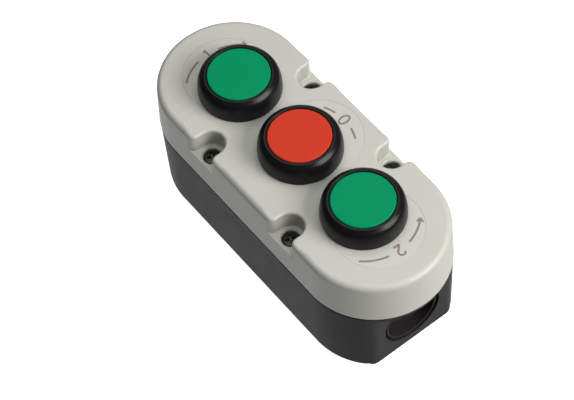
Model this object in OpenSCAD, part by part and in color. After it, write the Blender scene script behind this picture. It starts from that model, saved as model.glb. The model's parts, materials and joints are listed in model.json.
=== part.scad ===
// Push-button control station: three flush operators in a two-part moulded housing.
// It lies on its back. The origin is the middle of the back face, +X runs along the
// length, and +Z points out through the cover. All lengths are in millimetres.

/* [Housing] */
// Distance between the centres of the two round ends
end_spacing = 78.1; // [77:0.1:90]
// Radius of the cover's round ends at the parting line
cover_r = 27.1; // [26.8:0.1:30]
// Height of the cover, from the parting line to its face
cover_h = 17.9; // [17:0.1:20]
// Height of the base, from the back face to the parting line
base_h = 32.4; // [31.5:0.1:36]
// Thickness of the moulded walls
wall = 2.6; // [2.2:0.1:3]
// How far the cover's side wall leans in over its height
cover_draft = 0.7; // [0:0.05:1.2]
// Rounding of the cover's top edge
cover_edge_r = 2.2; // [1:0.1:3]
// How far the base stays inside the cover's outline at the parting line
base_inset = 0.15; // [0.05:0.05:0.4]
// How far the base's side wall leans in over its height
base_draft = 0.5; // [0:0.05:0.8]
// Rounding of the base's back edge
base_edge_r = 1.6; // [0.8:0.1:2.4]
// How far each flat end of the base is cut back from the round end
end_flat_depth = 6.7; // [6:0.1:7.5]
// Rounding between the flat end and the round end of the base
end_corner_r = 7; // [5:0.1:8]
// Height of the dark shadow gap under the cover's edge
seam_gap_h = 0.6; // [0.3:0.1:1.2]
// Depth of the dark shadow gap under the cover's edge
seam_gap_depth = 0.5; // [0.2:0.05:0.8]

/* [Cover screws] */
// Distance from screw to screw along the housing
screw_pitch_x = 44; // [43:0.1:46]
// Distance from a screw's axis out to the cover's long side
screw_side = 5.1; // [4.9:0.1:5.3]
// Radius of the scallop that opens round each screw
scallop_r = 5; // [4.4:0.1:5.4]
// Depth of the scallop's ledge below the cover's face
scallop_depth = 7.7; // [6:0.1:8.4]
// Radius of the flare where a scallop runs out through the side wall
scallop_flare_r = 3; // [2:0.1:3.6]
// Rounding of the scallop's rim
scallop_rim_r = 0.9; // [0.4:0.1:1.2]
// Radius of the sunk hole that takes the screw's head
screw_well_r = 3.3; // [3.2:0.05:3.6]
// Radius of the screw's head
screw_head_r = 3.05; // [2.8:0.05:3.1]
// Height of the screw's head
screw_head_h = 2.4; // [1.8:0.1:2.8]
// Radius of the screw's shank
screw_shank_r = 1.95; // [1.6:0.05:2.1]
// Length of a screw's thread inside its insert
screw_engagement = 7; // [5:0.1:7.8]

/* [Operators] */
// Distance between neighbouring buttons
button_pitch = 34; // [32:0.1:34.6]
// Radius of the coloured cap
cap_r = 11.15; // [10.6:0.05:11.6]
// Thickness of the coloured cap
cap_t = 2; // [1.6:0.1:2.4]
// How far a button can be pressed
travel = 3.8; // [2.5:0.1:4.2]
// Height of the bezel above the cover
bezel_h = 8.35; // [8:0.05:10]
// Radius of the bezel at its foot
bezel_r = 14.9; // [14.6:0.05:15.6]
// Radius of the threaded bush below the bezel
bush_r = 11; // [10.6:0.05:11.1]
// Length of the threaded bush below the cover's face
bush_l = 11.8; // [10.5:0.1:13]
// Thickness of the lock nut
nut_t = 3.6; // [3:0.1:5]
// Radius of the lock nut
nut_r = 14; // [13.2:0.1:15]

/* [Legends] */
// Thickness of a legend plate
legend_t = 0.5; // [0.3:0.1:0.8]
// Radius of a legend plate, a disc set off to one side of its button
legend_r = 15.8; // [15.2:0.1:16]
// Gap between the middle legend plate and the cover's rounded top edge
legend_side = 0.6; // [0.4:0.1:1]

/* [Contact blocks] */
// Width of a contact block
block_w = 14; // [13:0.1:16]
// Length of a contact block across the housing
block_l = 32; // [31:0.1:33]
// Height of a contact block
block_h = 24.4; // [23.5:0.1:25.2]
// Wall thickness of a contact block
block_wall = 1.5; // [1.2:0.1:1.7]
// Thickness of a contact block's lid
lid_t = 1.6; // [1.2:0.1:2.2]

/* [Cable entries and mounting] */
// Radius of the cable entry
entry_r = 10.2; // [8:0.1:10.6]
// Depth of the entry down to its knock-out disc
entry_depth = 4.5; // [3.5:0.1:4.8]
// Radius of a mounting hole in the back
mount_hole_r = 2.25; // [1.8:0.05:2.6]
// Distance between the two mounting holes
mount_spacing = 94; // [93:0.1:96]

/* [Hidden] */
// Sides of a full circle
$fn = 96;
// How far a cut runs past the face that it opens
overrun = 1;
// Thickness of the thin slices that the base's outline is blended from
slice_t = 0.01;
// Clearance of a piece that slides closely in another
running_gap = 0.05;
// Clearance of a piece that passes freely through another
free_gap = 0.3;

// Housing levels and reaches
face_z = base_h + cover_h;
ledge_z = face_z - scallop_depth;
under_z = face_z - wall;
end_x = end_spacing / 2;
base_r = cover_r - base_inset;
flat_x = end_x + base_r - end_flat_depth;
flange_t = 2.2;
tongue_t = 1;
tongue_h = 2;
tongue_fit = 0.2;
gasket_t = 0.8;
gasket_w = 0.9;
cavity_r = base_r - wall;
corner_x = flat_x - end_corner_r;
corner_y = sqrt(pow(base_r - end_corner_r, 2) - pow(corner_x - end_x, 2));
corner_angle = atan2(corner_y, corner_x - end_x);
legend_offset = cover_r - cover_draft - cover_edge_r - legend_side - legend_r;

// Scallops, wells and screw posts
screw_x = screw_pitch_x / 2;
screw_y = cover_r - screw_side;
scallop_wall = 2;
scallop_reach = screw_side + overrun;
flare_y = 2.6;
post_r = 4.6;
boss_r = 4.8;
well_chamfer = 0.5;
head_sunk = 0.6;
head_top_z = ledge_z - head_sunk;
washer_t = 0.7;
washer_gap = 0.1;
washer_r = screw_head_r - washer_gap;
seat_z = head_top_z - screw_head_h - washer_t;
shank_hole_r = screw_shank_r + free_gap;
screw_l = seat_z + washer_t - base_h + screw_engagement;
insert_wall = 1;
insert_h = 8;
insert_r = screw_shank_r + running_gap + insert_wall;
recess_w = 0.9;
recess_l = 3.6;
recess_depth = 1.4;
face_rib_t = 1.4;
face_rib_h = 4;

// Operator levels, measured from the back face
flange_disc_t = 1;
flange_disc_r = cap_r - free_gap;
cup_gap = 0.2;
cap_round = 0.5;
cup_r = cap_r + cup_gap;
rim_z = face_z + bezel_h;
roof_z = rim_z - cap_t - flange_disc_t;
cup_floor_z = roof_z - travel - free_gap;
bezel_foot_h = 1.3;
bezel_rim_r = 12.75;
bezel_rim_round = 0.7;
bezel_rim_angle = 30;
bezel_foot_step = 0.35;
seal_t = 0.8;
seal_w = 1.8;
seal_gap = 0.5;
seal_r = cup_r + seal_gap;
skirt_r = 8.5;
skirt_t = 1.7;
stem_r = 2.6;
web_t = 1.5;
web_z = face_z - bush_l + web_t;
skirt_z = web_z + travel + free_gap;
clip_t = 0.8;
clip_r = 4.2;
clip_groove_depth = 0.6;
panel_hole_gap = 0.2;
panel_hole_r = bush_r + panel_hole_gap;
key_w = 3;
key_gap = 0.2;
key_depth = 1.2;
thread_pitch = 1.5;
thread_depth = 0.35;
nut_notch_r = 1.4;
nut_notches = 8;
spring_wire_r = 0.4;
spring_r = 5;
spring_turns = 7;
seat_gap = 0.05;
coil_sides = 6;
coil_steps = 8;

// Contact block levels
floor_z = wall;
block_top_z = floor_z + block_h;
tub_top_z = block_top_z - lid_t;
lid_rim = 1;
slider_over = 1;
slider_top_z = block_top_z + travel + slider_over;
contact_spring_l = 7.6;
slider_foot_z = floor_z + block_wall + contact_spring_l;
bridge_rise = 4.9;
bridge_z = slider_foot_z + bridge_rise;
bridge_t = 0.8;
tip_t = 0.5;
touch_gap = 0.05;
strip_t = 1;
ledge_h = 9.4;
pocket_below = 4;
wire_hole_h = 2.6;

// Contact block lengths, from its outer ends in to the slider
ledge_step = 0.8;
pocket_end_wall = 0.9;
pocket_wall = 1.1;
pocket_w = 7;
clamp_t = 0.8;
clamp_w = 4.2;
clamp_gap = 0.25;
pocket_l = clamp_w + 2 * clamp_gap;
pocket_y = block_l / 2 - ledge_step - pocket_end_wall - pocket_l;
term_y = pocket_y + pocket_l / 2;
term_head_r = 2.05;
term_head_h = 1.7;
term_shank_r = 1.3;
term_shank_l = 3.6;
chamber_l = 2 * (pocket_y - pocket_wall);
bridge_end_gap = 0.5;
bridge_l = chamber_l - 2 * bridge_end_gap;
bridge_w = 4;
tip_r = 1.4;
tip_edge = 0.2;
tip_y = bridge_l / 2 - tip_r - tip_edge;
strip_w = 4.4;
strip_inner_y = tip_y - tip_r - tip_edge;
strip_outer_gap = 0.2;
slot_fit = 0.05;
slider_w = 6.8;
slider_depth_share = 0.625;
slider_d = 2 * strip_inner_y * slider_depth_share;
contact_spring_share = 0.375;
contact_spring_r = slider_d * contact_spring_share;
contact_spring_wire_r = 0.25;
contact_spring_turns = 5;
hook_w = 6;
hook_t = 1.7;
hook_h = 1.2;
hook_gap = 0.1;

// Entries and mounting
entry_z = 15.9;
entry_recess_w = 1.6;
entry_recess_r = entry_r + entry_recess_w;
entry_recess_depth = 1.2;
entry_ridge_w = 0.7;
entry_ridge_h = 0.7;
entry_collar_t = 1.4;
knockout_t = 1.2;
knockout_ring_share = 0.8;
knockout_groove_w = 0.6;
knockout_groove_depth = 0.4;
mount_boss_r = 4.8;
mount_boss_h = 1.2;

SIDES = ["left", "centre", "right"];
LEGEND_ANGLES = [180, 90, 0];
CAP_COLOURS = ["seagreen", "firebrick", "seagreen"];
// The outer buttons close a circuit when pressed, and the centre one opens it
CLOSES = [true, false, true];
OPERATOR_PIECES = ["bezel", "seal", "lock_nut", "legend", "cap", "plunger", "retainer", "return_spring"];
BLOCK_PIECES = ["contact_block", "contact_lid", "slider", "bridge", "terminals", "terminal_screws",
    "contact_spring"];
HOUSING_PIECES = ["base", "cover", "cover_gasket", "cover_screws", "screw_washers", "screw_inserts"];

// Points of an arc of radius r round a centre, from angle a0 to a1
function arc(centre, r, a0, a1, steps) = [for (i = [0 : steps])
    let (a = a0 + (a1 - a0) * i / steps) [centre[0] + r * cos(a), centre[1] + r * sin(a)]];

// Centre distance of button i from the middle one
function button_x(i) = (i - 1) * button_pitch;

// Outline of the base: round ends cut by a flat, with rounded corners, drawn in by inset
function base_quarter(inset) = concat(
    arc([corner_x, corner_y], end_corner_r - inset, 0, corner_angle, 6),
    arc([end_x, 0], base_r - inset, corner_angle + 4, 90, 10));
function flip(points, sx, sy) = [for (p = points) [p[0] * sx, p[1] * sy]];
function reversed(points) = [for (i = [len(points) - 1 : -1 : 0]) points[i]];
function base_outline(inset) = let (q = base_quarter(inset)) concat(
    q, reversed(flip(q, -1, 1)), flip(q, -1, -1), reversed(flip(q, 1, -1)));

// Helical tube with flat ends, wound round the Z axis between two heights
function coil_ring(r, wire_r, a, z) = [for (k = [0 : coil_sides - 1])
    let (b = 360 * k / coil_sides, d = r + wire_r * cos(b)) [d * cos(a), d * sin(a), z + wire_r * sin(b)]];
module coil(r, wire_r, z0, z1, turns) {
    rings = turns * coil_steps;
    points = [for (i = [0 : rings])
        each coil_ring(r, wire_r, 360 * i / coil_steps, z0 + wire_r + (z1 - z0 - 2 * wire_r) * i / rings)];
    sides = [for (i = [0 : rings - 1]) for (k = [0 : coil_sides - 1])
        let (n = (k + 1) % coil_sides, a = i * coil_sides, b = (i + 1) * coil_sides)
        each [[a + k, b + k, b + n], [a + k, b + n, a + n]]];
    first = [for (k = [1 : coil_sides - 2]) [0, k, k + 1]];
    last = [for (k = [1 : coil_sides - 2]) [rings * coil_sides, rings * coil_sides + k + 1,
        rings * coil_sides + k]];
    polyhedron(points = points, faces = concat(sides, first, last));
}

// Solid with two round ends: the half section turns at each end and runs straight between
module round_ended(spacing) {
    for (turn = [0, 180])
        rotate([0, 0, turn])
            translate([spacing / 2, 0, 0])
                rotate([0, 0, -90])
                    rotate_extrude(angle = 180)
                        children();
    translate([-spacing / 2, 0, 0])
        rotate([90, 0, 90])
            linear_extrude(spacing)
                union() {
                    children();
                    mirror([1, 0])
                        children();
                }
}

// Plan outline with two round ends of radius r
module round_ended_plan(r) {
    square([end_spacing, 2 * r], center = true);
    for (side = [-1, 1])
        translate([side * end_x, 0])
            circle(r);
}

// Straight-walled ring that follows the housing's outline
module outline_ring(outer_r, thickness, z, h) {
    translate([0, 0, z])
        linear_extrude(h)
            difference() {
                round_ended_plan(outer_r);
                round_ended_plan(outer_r - thickness);
            }
}

// Half section of the cover: a leaning side wall with its top edge rounded
module cover_section() {
    lean = atan(cover_draft / cover_h);
    centre_z = cover_h - cover_edge_r;
    centre_r = cover_r - (cover_edge_r + centre_z * sin(lean)) / cos(lean);
    polygon([
        [0, 0],
        [cover_r, 0],
        [centre_r + cover_edge_r * cos(lean), centre_z + cover_edge_r * sin(lean)],
        [centre_r, centre_z],
        [centre_r, cover_h],
        [0, cover_h]]);
    translate([centre_r, centre_z])
        circle(cover_edge_r);
}

module at_screws() {
    for (sx = [-1, 1])
        for (sy = [0, 1])
            mirror([0, sy, 0])
                translate([sx * screw_x, screw_y, 0])
                    children();
}

// Plan of a scallop: round the screw, then straight out and flaring at the side wall
module scallop_plan() {
    circle(scallop_r);
    translate([-scallop_r, 0])
        square([2 * scallop_r, scallop_reach]);
    for (side = [0, 1])
        mirror([side, 0])
            difference() {
                translate([scallop_r - scallop_rim_r, flare_y])
                    square([scallop_flare_r + scallop_rim_r, scallop_reach - flare_y]);
                translate([scallop_r + scallop_flare_r, flare_y])
                    circle(scallop_flare_r);
            }
}

// Section of the waste above a rounded rim whose wall stands at x = 0 and top at y = 0
module rim_waste(r) {
    difference() {
        translate([-overrun, -r])
            square([r + overrun, r + overrun]);
        translate([r, -r])
            circle(r);
    }
}

module scallop_cut() {
    translate([0, 0, ledge_z])
        linear_extrude(scallop_depth + overrun)
            scallop_plan();
    translate([0, 0, face_z])
        rotate([0, 0, 180])
            rotate_extrude(angle = 180)
                translate([scallop_r, 0])
                    rim_waste(scallop_rim_r);
    for (side = [0, 1])
        mirror([side, 0, 0])
            translate([scallop_r, scallop_reach, face_z])
                rotate([90, 0, 0])
                    linear_extrude(scallop_reach)
                        rim_waste(scallop_rim_r);
}

// Sunk hole for the screw's head, its chamfer and the hole for the shank
module screw_well_cut() {
    translate([0, 0, seat_z])
        cylinder(h = ledge_z - seat_z + overrun, r = screw_well_r);
    translate([0, 0, ledge_z - well_chamfer])
        cylinder(h = well_chamfer * 2, r1 = screw_well_r, r2 = screw_well_r + well_chamfer * 2);
    translate([0, 0, base_h - overrun])
        cylinder(h = seat_z - base_h + 2 * overrun, r = shank_hole_r);
}

// Material that stands in the cover's cavity round a scallop and its screw
module scallop_housing() {
    translate([0, 0, ledge_z - scallop_wall])
        linear_extrude(scallop_depth + scallop_wall) {
            circle(scallop_r + scallop_wall);
            translate([-scallop_r - scallop_wall, 0])
                square([2 * (scallop_r + scallop_wall), scallop_reach]);
        }
    translate([0, 0, base_h])
        cylinder(h = ledge_z - base_h, r = boss_r);
}

module cover_cavity() {
    difference() {
        translate([0, 0, base_h])
            round_ended(end_spacing)
                polygon([
                    [0, -overrun],
                    [cover_r - wall, -overrun],
                    [cover_r - wall, 0],
                    [cover_r - wall - cover_draft, cover_h - wall],
                    [0, cover_h - wall]]);
        at_screws()
            scallop_housing();
        for (side = [-1, 1])
            translate([side * button_pitch / 2 - face_rib_t / 2, -cover_r, under_z - face_rib_h])
                cube([face_rib_t, 2 * cover_r, face_rib_h + overrun]);
    }
}

// Outline of a legend plate, before the button's hole is cut
module legend_plan(grow) {
    translate([legend_offset, 0])
        circle(legend_r + grow);
}

module panel_hole_plan() {
    circle(panel_hole_r);
    translate([-(key_w / 2 + key_gap), 0])
        square([key_w + 2 * key_gap, panel_hole_r + key_depth]);
}

module cover() {
    color("gainsboro")
        difference() {
            translate([0, 0, base_h])
                round_ended(end_spacing)
                    cover_section();
            cover_cavity();
            outline_ring(cavity_r + tongue_t + tongue_fit, tongue_t + 2 * tongue_fit,
                base_h - overrun, tongue_h + gasket_t + overrun);
            at_screws() {
                scallop_cut();
                screw_well_cut();
            }
            for (i = [0 : 2])
                translate([button_x(i), 0, 0]) {
                    translate([0, 0, under_z - overrun])
                        linear_extrude(wall + 2 * overrun)
                            panel_hole_plan();
                    translate([0, 0, face_z - legend_t])
                        linear_extrude(legend_t + overrun)
                            rotate(LEGEND_ANGLES[i])
                                legend_plan(slot_fit);
                }
        }
}

// Outside of the base below its flange: outlines blended from the back edge upwards
module base_body() {
    top_z = base_h - seam_gap_h;
    hull() {
        for (a = [0 : 30 : 90])
            translate([0, 0, base_edge_r * (1 - sin(a))])
                linear_extrude(slice_t)
                    polygon(base_outline(base_draft + base_edge_r * (1 - cos(a))));
        translate([0, 0, top_z - slice_t])
            linear_extrude(slice_t)
                polygon(base_outline(0));
    }
}

// Cable entry in a flat end, seen along its axis from the outside
module entry_cut() {
    difference() {
        translate([0, 0, -entry_recess_depth])
            cylinder(h = entry_recess_depth + overrun, r = entry_recess_r);
        translate([0, 0, -entry_recess_depth - overrun])
            cylinder(h = entry_ridge_h + overrun, r = entry_r + entry_ridge_w);
    }
    translate([0, 0, -entry_depth])
        cylinder(h = entry_depth + overrun, r = entry_r);
    translate([0, 0, -entry_depth - knockout_groove_depth])
        difference() {
            cylinder(h = knockout_groove_depth + overrun, r = entry_r * knockout_ring_share);
            translate([0, 0, -overrun])
                cylinder(h = knockout_groove_depth + 3 * overrun,
                    r = entry_r * knockout_ring_share - knockout_groove_w);
        }
}

module at_entries() {
    for (side = [0, 1])
        mirror([side, 0, 0])
            translate([flat_x, 0, entry_z])
                rotate([0, 90, 0])
                    children();
}

// Hooked posts on the floor that hold one contact block by its end ledges
module block_hooks() {
    hook_y = block_l / 2 + hook_gap;
    lip_y = hook_y - ledge_step;
    lip_z = floor_z + ledge_h;
    for (side = [0, 1])
        mirror([0, side, 0])
            translate([-hook_w / 2, 0, 0])
                rotate([90, 0, 90])
                    linear_extrude(hook_w)
                        polygon([
                            [hook_y, 0],
                            [hook_y + hook_t, 0],
                            [hook_y + hook_t, lip_z + hook_h],
                            [hook_y, lip_z + hook_h],
                            [lip_y, lip_z + hook_h / 2],
                            [lip_y, lip_z],
                            [hook_y, lip_z]]);
}

module base_cavity() {
    difference() {
        translate([0, 0, floor_z])
            linear_extrude(base_h - floor_z + overrun)
                intersection() {
                    round_ended_plan(cavity_r);
                    square([2 * (flat_x - wall), 2 * base_r], center = true);
                }
        at_screws()
            cylinder(h = base_h, r = post_r);
        at_entries()
            translate([0, 0, -entry_depth - knockout_t])
                cylinder(h = entry_depth, r = entry_r + entry_ridge_w + entry_collar_t);
        for (side = [-1, 1])
            translate([side * mount_spacing / 2, 0, 0])
                cylinder(h = floor_z + mount_boss_h, r = mount_boss_r);
        for (i = [0 : 2])
            translate([button_x(i), 0, 0])
                block_hooks();
    }
}

module base() {
    color("dimgray")
        difference() {
            union() {
                base_body();
                translate([0, 0, base_h - flange_t])
                    linear_extrude(flange_t)
                        round_ended_plan(base_r - seam_gap_depth);
                outline_ring(cavity_r + tongue_t, tongue_t, base_h - flange_t, flange_t + tongue_h);
            }
            base_cavity();
            at_entries()
                entry_cut();
            at_screws()
                translate([0, 0, base_h - insert_h])
                    cylinder(h = insert_h + overrun, r = insert_r + running_gap);
            for (side = [-1, 1])
                translate([side * mount_spacing / 2, 0, -overrun])
                    cylinder(h = floor_z + mount_boss_h + 2 * overrun, r = mount_hole_r);
        }
}

module cover_gasket() {
    color("black")
        outline_ring(cavity_r + tongue_t, gasket_w, base_h + tongue_h, gasket_t);
}

// Cross-recessed screw with its shank pointing down
module cover_screw() {
    difference() {
        union() {
            cylinder(h = screw_head_h, r = screw_head_r);
            translate([0, 0, -screw_l])
                cylinder(h = screw_l + screw_head_h / 2, r = screw_shank_r);
        }
        for (turn = [0, 90])
            rotate([0, 0, turn])
                translate([-recess_l / 2, -recess_w / 2, screw_head_h - recess_depth])
                    cube([recess_l, recess_w, recess_depth + overrun]);
    }
}

module cover_screws() {
    color("black")
        at_screws()
            translate([0, 0, seat_z + washer_t])
                cover_screw();
}

module screw_washers() {
    color("white")
        at_screws()
            translate([0, 0, seat_z])
                difference() {
                    cylinder(h = washer_t, r = washer_r);
                    translate([0, 0, -overrun])
                        cylinder(h = washer_t + 2 * overrun, r = screw_shank_r + running_gap);
                }
}

module screw_inserts() {
    color("goldenrod")
        at_screws()
            translate([0, 0, base_h - insert_h])
                difference() {
                    cylinder(h = insert_h, r = insert_r);
                    translate([0, 0, -overrun])
                        cylinder(h = insert_h + 2 * overrun, r = screw_shank_r + running_gap);
                }
}

// Half section of the bezel's head: a bulging wall with a rounded rim
module bezel_head_section() {
    bulge_h = bezel_h - bezel_foot_h - bezel_rim_round;
    polygon(concat(
        [[cup_r, 0], [bezel_r - bezel_foot_step, 0], [bezel_r, bezel_foot_step], [bezel_r, bezel_foot_h]],
        [for (a = [15 : 15 : 75])
            [bezel_rim_r + (bezel_r - bezel_rim_r) * cos(a), bezel_foot_h + bulge_h * sin(a)]],
        arc([bezel_rim_r - bezel_rim_round, bezel_h - bezel_rim_round], bezel_rim_round,
            bezel_rim_angle, 90, 3),
        [[cup_r, bezel_h]]));
}

// Half section of the bush: a threaded tube with a guide web at its lower end
module bush_section() {
    turns = floor((bush_l - wall - thread_pitch) / thread_pitch);
    difference() {
        translate([0, -bush_l])
            square([bush_r, bush_l]);
        translate([0, web_t - bush_l])
            square([skirt_r + running_gap, bush_l]);
        translate([0, -bush_l - overrun])
            square([stem_r + free_gap, bush_l]);
        for (k = [1 : turns])
            translate([bush_r, thread_pitch * k - bush_l])
                polygon([
                    [-thread_depth, 0],
                    [thread_depth, thread_pitch / 2],
                    [thread_depth, -thread_pitch / 2]]);
    }
}

module bezel(i) {
    color("#1d1d1e")
        translate([button_x(i), 0, face_z]) {
            rotate_extrude()
                difference() {
                    union() {
                        bezel_head_section();
                        translate([skirt_r + running_gap, 0])
                            square([cup_r - skirt_r, cup_floor_z - face_z]);
                        bush_section();
                    }
                    translate([seal_r, -overrun])
                        square([seal_w, seal_t + overrun]);
                }
            translate([-key_w / 2, bush_r - key_depth, -wall])
                cube([key_w, panel_hole_r + 2 * key_depth - key_gap - bush_r, wall]);
        }
}

module seal(i) {
    color("#303030")
        translate([button_x(i), 0, face_z])
            rotate_extrude()
                translate([seal_r + slot_fit, 0])
                    square([seal_w - 2 * slot_fit, seal_t]);
}

module lock_nut(i) {
    color("gray")
        translate([button_x(i), 0, under_z - nut_t])
            difference() {
                cylinder(h = nut_t, r = nut_r);
                translate([0, 0, -overrun])
                    cylinder(h = nut_t + 2 * overrun, r = bush_r + running_gap);
                for (k = [0 : nut_notches - 1])
                    rotate([0, 0, 360 * k / nut_notches])
                        translate([nut_r, 0, -overrun])
                            cylinder(h = nut_t + 2 * overrun, r = nut_notch_r);
            }
}

module legend(i) {
    color("lightgray")
        translate([button_x(i), 0, face_z - legend_t])
            linear_extrude(legend_t)
                difference() {
                    rotate(LEGEND_ANGLES[i])
                        legend_plan(0);
                    circle(panel_hole_r + key_depth + key_gap);
                }
}

module cap(i) {
    color(CAP_COLOURS[i])
        translate([button_x(i), 0, rim_z - cap_t])
            rotate_extrude()
                polygon(concat([[0, 0], [cap_r, 0]],
                    arc([cap_r - cap_round, cap_t - cap_round], cap_round, 0, 90, 4),
                    [[0, cap_t]]));
}

// Hollow plunger: a disc under the cap, a guide skirt and a stem down to the contact block
module plunger(i) {
    disc_top = rim_z - cap_t;
    color("#26272a")
        translate([button_x(i), 0, 0])
            rotate_extrude()
                difference() {
                    union() {
                        translate([0, roof_z])
                            square([flange_disc_r, flange_disc_t]);
                        translate([skirt_r - skirt_t, skirt_z])
                            square([skirt_t, disc_top - skirt_z]);
                        translate([0, slider_top_z])
                            square([stem_r, disc_top - slider_top_z]);
                    }
                    translate([stem_r - clip_groove_depth, web_z - web_t - clip_t])
                        square([clip_groove_depth + overrun, clip_t]);
                }
}

module retainer(i) {
    color("silver")
        translate([button_x(i), 0, web_z - web_t - clip_t])
            difference() {
                cylinder(h = clip_t, r = clip_r);
                translate([0, 0, -overrun])
                    cylinder(h = clip_t + 2 * overrun, r = stem_r - clip_groove_depth + running_gap);
                translate([0, -stem_r / 2, -overrun])
                    cube([clip_r + overrun, stem_r, clip_t + 2 * overrun]);
            }
}

module return_spring(i) {
    color("silver")
        translate([button_x(i), 0, 0])
            coil(spring_r, spring_wire_r, web_z + seat_gap, roof_z - seat_gap, spring_turns);
}

// Height of the lower face of a block's fixed contact strips
function strip_z(i) = CLOSES[i]
    ? bridge_z - bridge_t / 2 - tip_t - travel - touch_gap - tip_t - strip_t
    : bridge_z + bridge_t / 2 + tip_t + tip_t;

module contact_block(i) {
    pocket_z = strip_z(i) - pocket_below;
    color("#3a4a55")
        translate([button_x(i), 0, 0])
            difference() {
                union() {
                    translate([-block_w / 2, -block_l / 2, floor_z])
                        cube([block_w, block_l, ledge_h]);
                    translate([-block_w / 2, ledge_step - block_l / 2, floor_z])
                        cube([block_w, block_l - 2 * ledge_step, tub_top_z - floor_z]);
                }
                translate([block_wall - block_w / 2, -chamber_l / 2, floor_z + block_wall])
                    cube([block_w - 2 * block_wall, chamber_l, block_h]);
                for (side = [0, 1])
                    mirror([0, side, 0]) {
                        translate([-pocket_w / 2, pocket_y, pocket_z])
                            cube([pocket_w, pocket_l, block_h]);
                        translate([-strip_w / 2 - slot_fit, 0, strip_z(i) - slot_fit])
                            cube([strip_w + 2 * slot_fit, pocket_y + slot_fit, strip_t + 2 * slot_fit]);
                        translate([-pocket_w / 2, pocket_y + overrun, strip_z(i) + strip_t])
                            cube([pocket_w, block_l / 2, wire_hole_h]);
                    }
            }
}

module contact_lid(i) {
    lid_l = chamber_l + 2 * pocket_wall;
    rim_w = block_w - 2 * (block_wall + hook_gap);
    rim_l = chamber_l - 2 * hook_gap;
    color("#2f3a44")
        translate([button_x(i), 0, 0])
            difference() {
                union() {
                    translate([-block_w / 2, -lid_l / 2, tub_top_z])
                        cube([block_w, lid_l, lid_t]);
                    translate([-rim_w / 2, -rim_l / 2, tub_top_z - lid_rim])
                        cube([rim_w, rim_l, lid_rim]);
                }
                translate([-slider_w / 2 - free_gap, -slider_d / 2 - free_gap, tub_top_z - lid_rim - overrun])
                    cube([slider_w + 2 * free_gap, slider_d + 2 * free_gap, lid_t + lid_rim + 2 * overrun]);
            }
}

// Sliding carrier: a square post with a window for the contact bridge
module slider(i) {
    color("ivory")
        translate([button_x(i), 0, 0])
            difference() {
                translate([-slider_w / 2, -slider_d / 2, slider_foot_z])
                    cube([slider_w, slider_d, slider_top_z - slider_foot_z]);
                translate([-bridge_w / 2 - slot_fit, -slider_d, bridge_z - bridge_t / 2])
                    cube([bridge_w + 2 * slot_fit, 2 * slider_d, bridge_t]);
            }
}

module bridge(i) {
    tip_z = CLOSES[i] ? bridge_z - bridge_t / 2 - tip_t : bridge_z + bridge_t / 2;
    color("peru")
        translate([button_x(i), 0, 0]) {
            translate([-bridge_w / 2, -bridge_l / 2, bridge_z - bridge_t / 2])
                cube([bridge_w, bridge_l, bridge_t]);
            for (side = [-1, 1])
                translate([0, side * tip_y, tip_z])
                    cylinder(h = tip_t, r = tip_r);
        }
}

module terminals(i) {
    strip_l = block_l / 2 - ledge_step - strip_outer_gap - pocket_end_wall - strip_inner_y;
    tip_z = CLOSES[i] ? strip_z(i) + strip_t : strip_z(i) - tip_t;
    color("goldenrod")
        translate([button_x(i), 0, 0])
            for (side = [0, 1])
                mirror([0, side, 0]) {
                    difference() {
                        translate([-strip_w / 2, strip_inner_y, strip_z(i)])
                            cube([strip_w, strip_l, strip_t]);
                        translate([0, term_y, strip_z(i) - overrun])
                            cylinder(h = strip_t + 2 * overrun, r = term_shank_r + running_gap);
                    }
                    translate([0, tip_y, tip_z])
                        cylinder(h = tip_t, r = tip_r);
                }
}

// Terminal screws, each with its square clamp plate, tightened onto the strips
module terminal_screws(i) {
    top_z = strip_z(i) + strip_t;
    color("silver")
        translate([button_x(i), 0, 0])
            for (side = [-1, 1])
                translate([0, side * term_y, top_z])
                    difference() {
                        union() {
                            translate([-clamp_w / 2, -clamp_w / 2, 0])
                                cube([clamp_w, clamp_w, clamp_t]);
                            cylinder(h = clamp_t + term_head_h, r = term_head_r);
                            translate([0, 0, -term_shank_l])
                                cylinder(h = term_shank_l + clamp_t, r = term_shank_r);
                        }
                        translate([-term_head_r, -recess_w / 2, clamp_t + term_head_h / 2])
                            cube([2 * term_head_r, recess_w, term_head_h]);
                    }
}

module contact_spring(i) {
    color("silver")
        translate([button_x(i), 0, 0])
            coil(contact_spring_r, contact_spring_wire_r, floor_z + block_wall + seat_gap,
                slider_foot_z - seat_gap, contact_spring_turns);
}

base();
cover();
cover_gasket();
cover_screws();
screw_washers();
screw_inserts();
for (i = [0 : 2]) {
    bezel(i);
    seal(i);
    lock_nut(i);
    legend(i);
    cap(i);
    plunger(i);
    retainer(i);
    return_spring(i);
    contact_block(i);
    contact_lid(i);
    slider(i);
    bridge(i);
    terminals(i);
    terminal_screws(i);
    contact_spring(i);
}
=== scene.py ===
import json
import math

import bmesh
import bpy
import numpy as np
from bpy.props import FloatProperty, FloatVectorProperty, IntProperty, PointerProperty
from mathutils import Matrix, Vector
from mathutils.geometry import tessellate_polygon


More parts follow.
